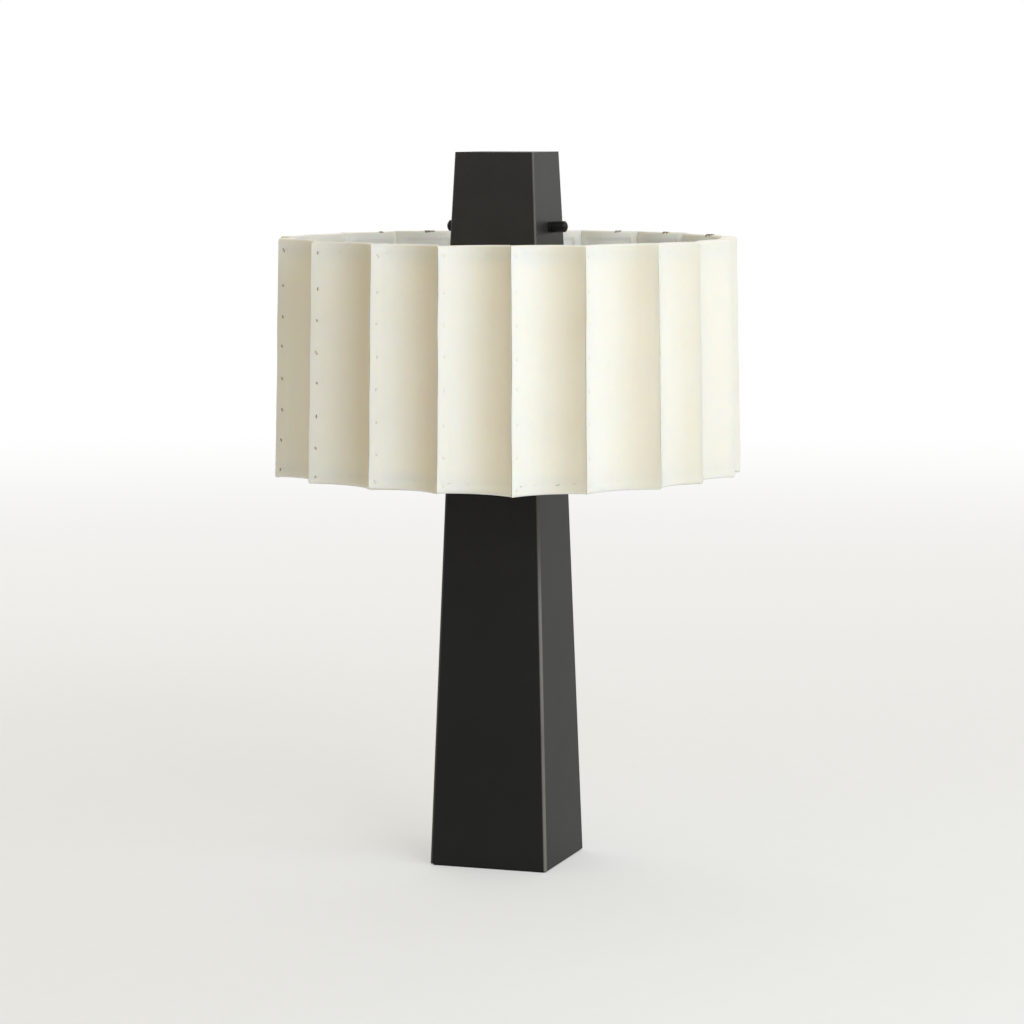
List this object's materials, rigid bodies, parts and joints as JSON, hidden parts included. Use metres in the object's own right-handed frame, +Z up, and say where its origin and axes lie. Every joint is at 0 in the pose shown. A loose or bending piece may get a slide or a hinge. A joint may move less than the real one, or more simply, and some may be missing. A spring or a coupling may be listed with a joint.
{
  "type": "table lamp",
  "caption": "Table lamp with a tapered square black column, an ivory drum shade of concave sewn panels and a square black cap with switch knobs.",
  "frame": {"origin": "centre of the foot on the floor, under the felt", "axes": "+Z up, -Y the front face of the column, +Y the rear with the cord inlet, +X towards the right knob"},
  "size_m": [0.4566, 0.4574, 0.7],
  "materials": {
    "black_coat": "satin black powder coat",
    "shade_sheet": "stiff ivory sheet, matt",
    "frame_wire": "ivory enamel",
    "felt": "black felt",
    "cast_iron": "as cast",
    "bushing_rubber": "matt black",
    "plain_steel": "zinc plated",
    "stem_black": "satin black",
    "holder_plastic": "black moulding",
    "screw_brass": "bright",
    "opal_lamp": "opal",
    "switch_plastic": "black moulding",
    "knob_black": "satin black",
    "spindle_steel": "turned"
  },
  "bodies": {
    "lamp": {"column_shell": "black_coat", "cap_shell": "black_coat", "shade_panel_01": "shade_sheet", "shade_panel_02": "shade_sheet", "shade_panel_03": "shade_sheet", "shade_panel_04": "shade_sheet", "shade_panel_05": "shade_sheet", "shade_panel_06": "shade_sheet", "shade_panel_07": "shade_sheet", "shade_panel_08": "shade_sheet", "shade_panel_09": "shade_sheet", "shade_panel_10": "shade_sheet", "shade_panel_11": "shade_sheet", "shade_panel_12": "shade_sheet", "shade_panel_13": "shade_sheet", "shade_panel_14": "shade_sheet", "shade_panel_15": "shade_sheet", "shade_panel_16": "shade_sheet", "shade_panel_17": "shade_sheet", "shade_panel_18": "shade_sheet", "shade_panel_19": "shade_sheet", "shade_panel_20": "shade_sheet", "shade_top_ring": "frame_wire", "shade_bottom_ring": "frame_wire", "shade_ribs": "frame_wire", "spider_hub": "frame_wire", "spider_arms": "frame_wire", "felt_pad": "felt", "ballast_weight": "cast_iron", "cord_bushing": "bushing_rubber", "threaded_pipe": "plain_steel", "pipe_nuts": "plain_steel", "pipe_washers": "plain_steel", "holder_nipples": "plain_steel", "cap_screws": "plain_steel", "lampholder_bar": "plain_steel", "cap_floor": "plain_steel", "stem_tube": "stem_black", "lampholder_bodies": "holder_plastic", "screw_shells": "screw_brass", "light_bulbs": "opal_lamp", "rotary_switch_left": "switch_plastic", "rotary_switch_right": "switch_plastic", "switch_ring_nut_left": "knob_black", "switch_ring_nut_right": "knob_black"},
    "left_knob": {"knob_left": "knob_black", "switch_spindle_left": "spindle_steel"},
    "right_knob": {"knob_right": "knob_black", "switch_spindle_right": "spindle_steel"}
  },
  "joints": [
    {"name": "left_knob_turn", "type": "hinge", "parent": "lamp", "child": "left_knob", "pos_m": [-0.04349, 0, 0.627], "axis": [-0.999, 0, 0.0457], "continuous": true},
    {"name": "right_knob_turn", "type": "hinge", "parent": "lamp", "child": "right_knob", "pos_m": [0.04349, 0, 0.627], "axis": [0.999, 0, 0.0457], "continuous": true}
  ]
}
